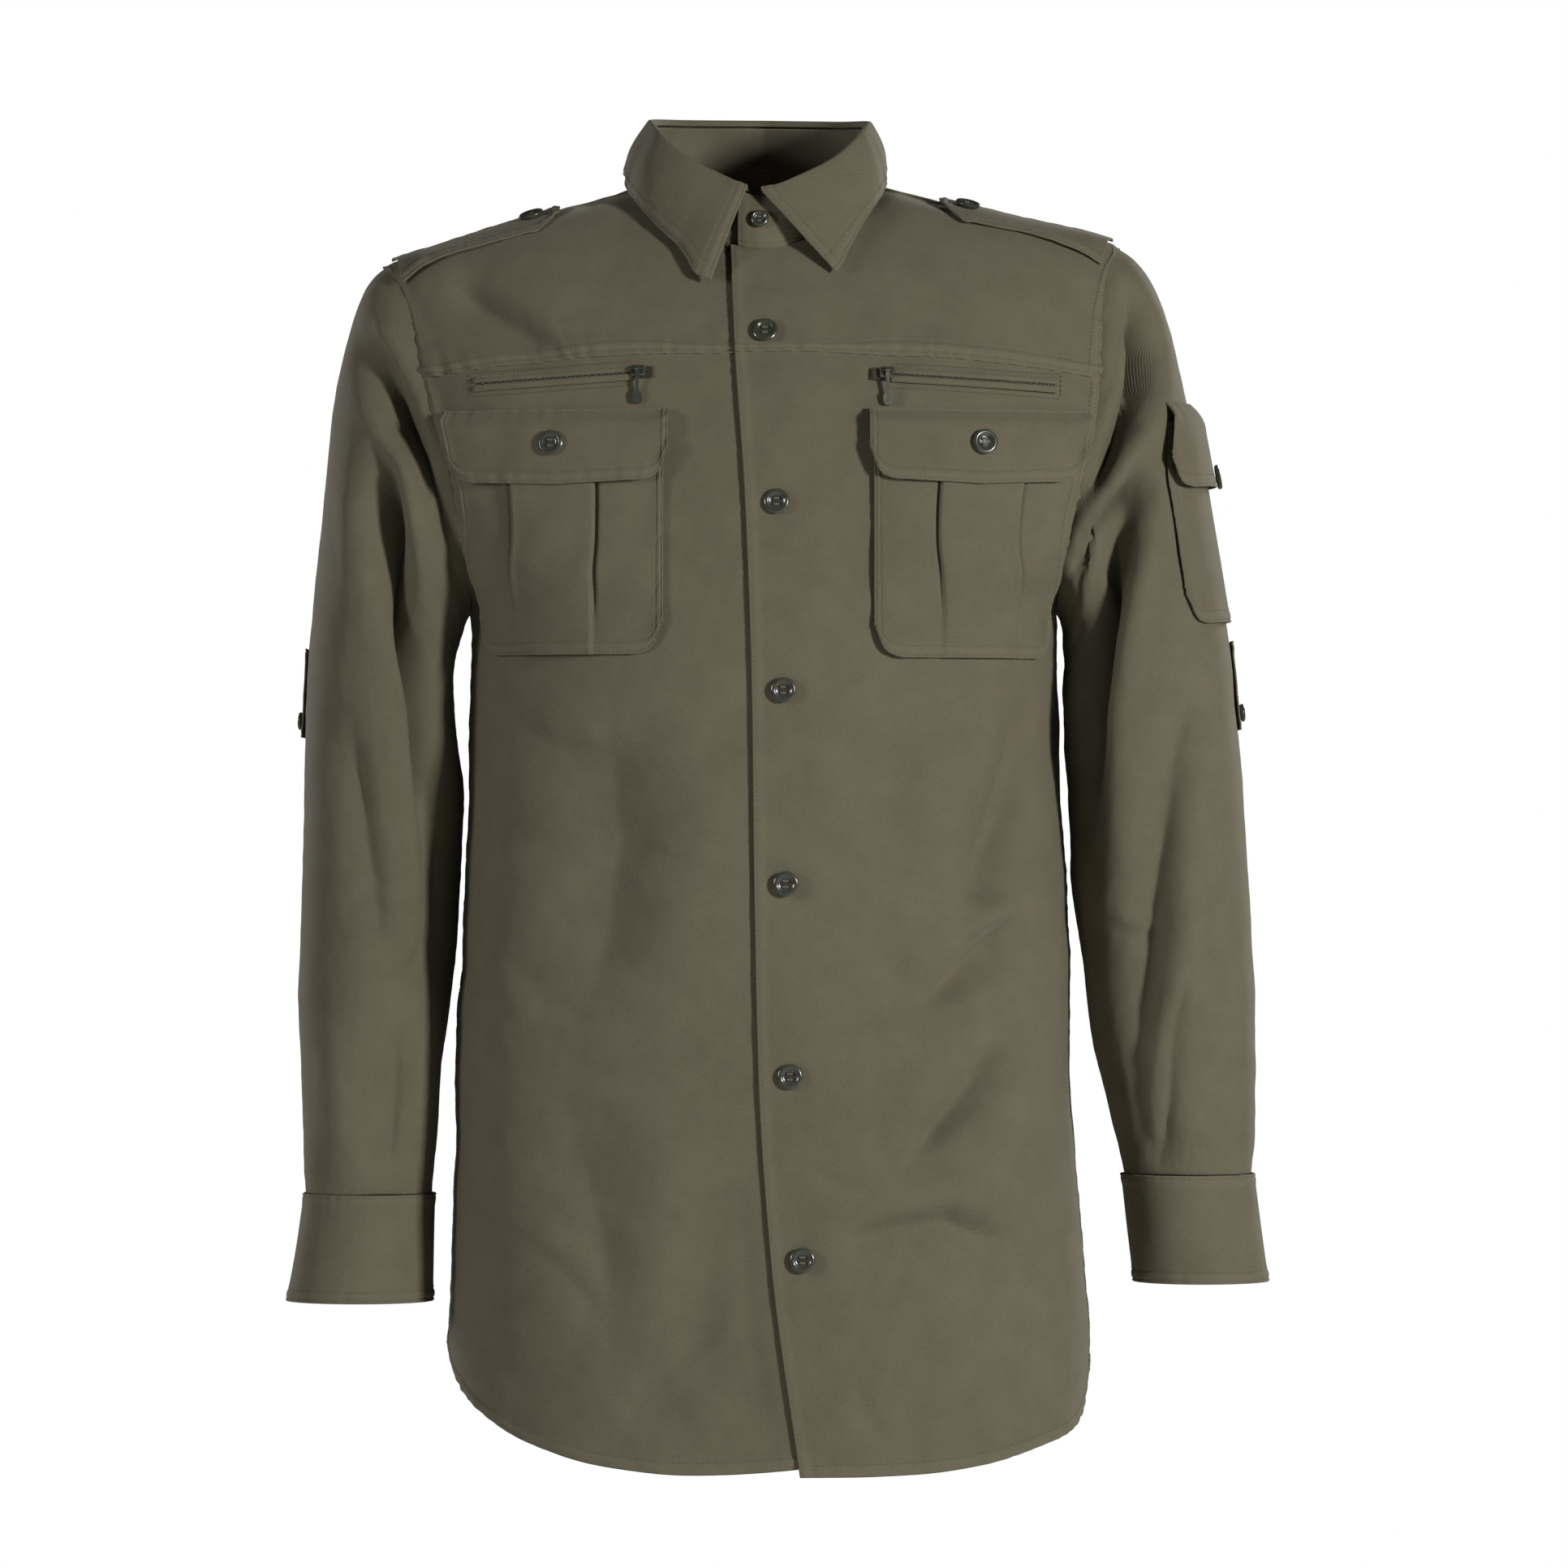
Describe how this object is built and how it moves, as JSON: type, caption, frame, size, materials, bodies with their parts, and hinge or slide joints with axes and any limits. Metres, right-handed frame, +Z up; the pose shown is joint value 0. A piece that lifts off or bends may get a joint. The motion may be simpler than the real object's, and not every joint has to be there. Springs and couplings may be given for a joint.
{
  "type": "hunting shirt",
  "caption": "Long-sleeved buttoned hunting shirt, filled out and hollow, with collar, shoulder straps, flapped chest pockets and level chest zips.",
  "frame": {"origin": "middle of the neck opening at the height of the shoulders' inner ends, where the wearer's shoulders carry the shirt", "axes": "+Z up along the wearer, +X to the wearer's left, front towards -Y"},
  "size_m": [0.6028, 0.2752, 0.8307],
  "materials": {
    "cloth": "olive drab cotton twill, soft slight sheen",
    "zip": "dark olive woven zip tape",
    "zip_metal": "dull grey-green painted metal",
    "button": "dark grey-green, glossy rim"
  },
  "bodies": {
    "shirt": {"back": "cloth", "front_left": "cloth", "front_right": "cloth", "yoke_left": "cloth", "yoke_right": "cloth", "placket": "cloth", "collar_stand": "cloth", "collar_leaf": "cloth", "sleeve_left": "cloth", "sleeve_right": "cloth", "cuff_left": "cloth", "cuff_right": "cloth", "epaulette_left": "cloth", "epaulette_right": "cloth", "pocket_left": "cloth", "pocket_right": "cloth", "pocket_flap_left": "cloth", "pocket_flap_right": "cloth", "sleeve_pocket": "cloth", "sleeve_pocket_flap": "cloth", "sleeve_tab_left": "cloth", "sleeve_tab_right": "cloth", "zip_left": "zip", "zip_right": "zip", "zip_slider_left": "zip_metal", "zip_slider_right": "zip_metal", "collar_button": "button", "front_button_1": "button", "front_button_2": "button", "front_button_3": "button", "front_button_4": "button", "front_button_5": "button", "front_button_6": "button", "pocket_button_left": "button", "pocket_button_right": "button", "epaulette_button_left": "button", "epaulette_button_right": "button", "sleeve_pocket_button": "button", "tab_button_left": "button", "tab_button_right": "button", "cuff_button_left": "button", "cuff_button_right": "button"},
    "pull_left": {"zip_pull_left": "zip_metal"},
    "pull_right": {"zip_pull_right": "zip_metal"}
  },
  "joints": [
    {"name": "pull_left_swing", "type": "hinge", "parent": "shirt", "child": "pull_left", "pos_m": [0.07566, -0.11235, -0.11899], "axis": [-0.9937, -0.1118, -0.0004], "range_deg": [0, 150]},
    {"name": "pull_right_swing", "type": "hinge", "parent": "shirt", "child": "pull_right", "pos_m": [-0.07564, -0.112, -0.11798], "axis": [-0.994, 0.109, 0.0004], "range_deg": [0, 150]}
  ]
}
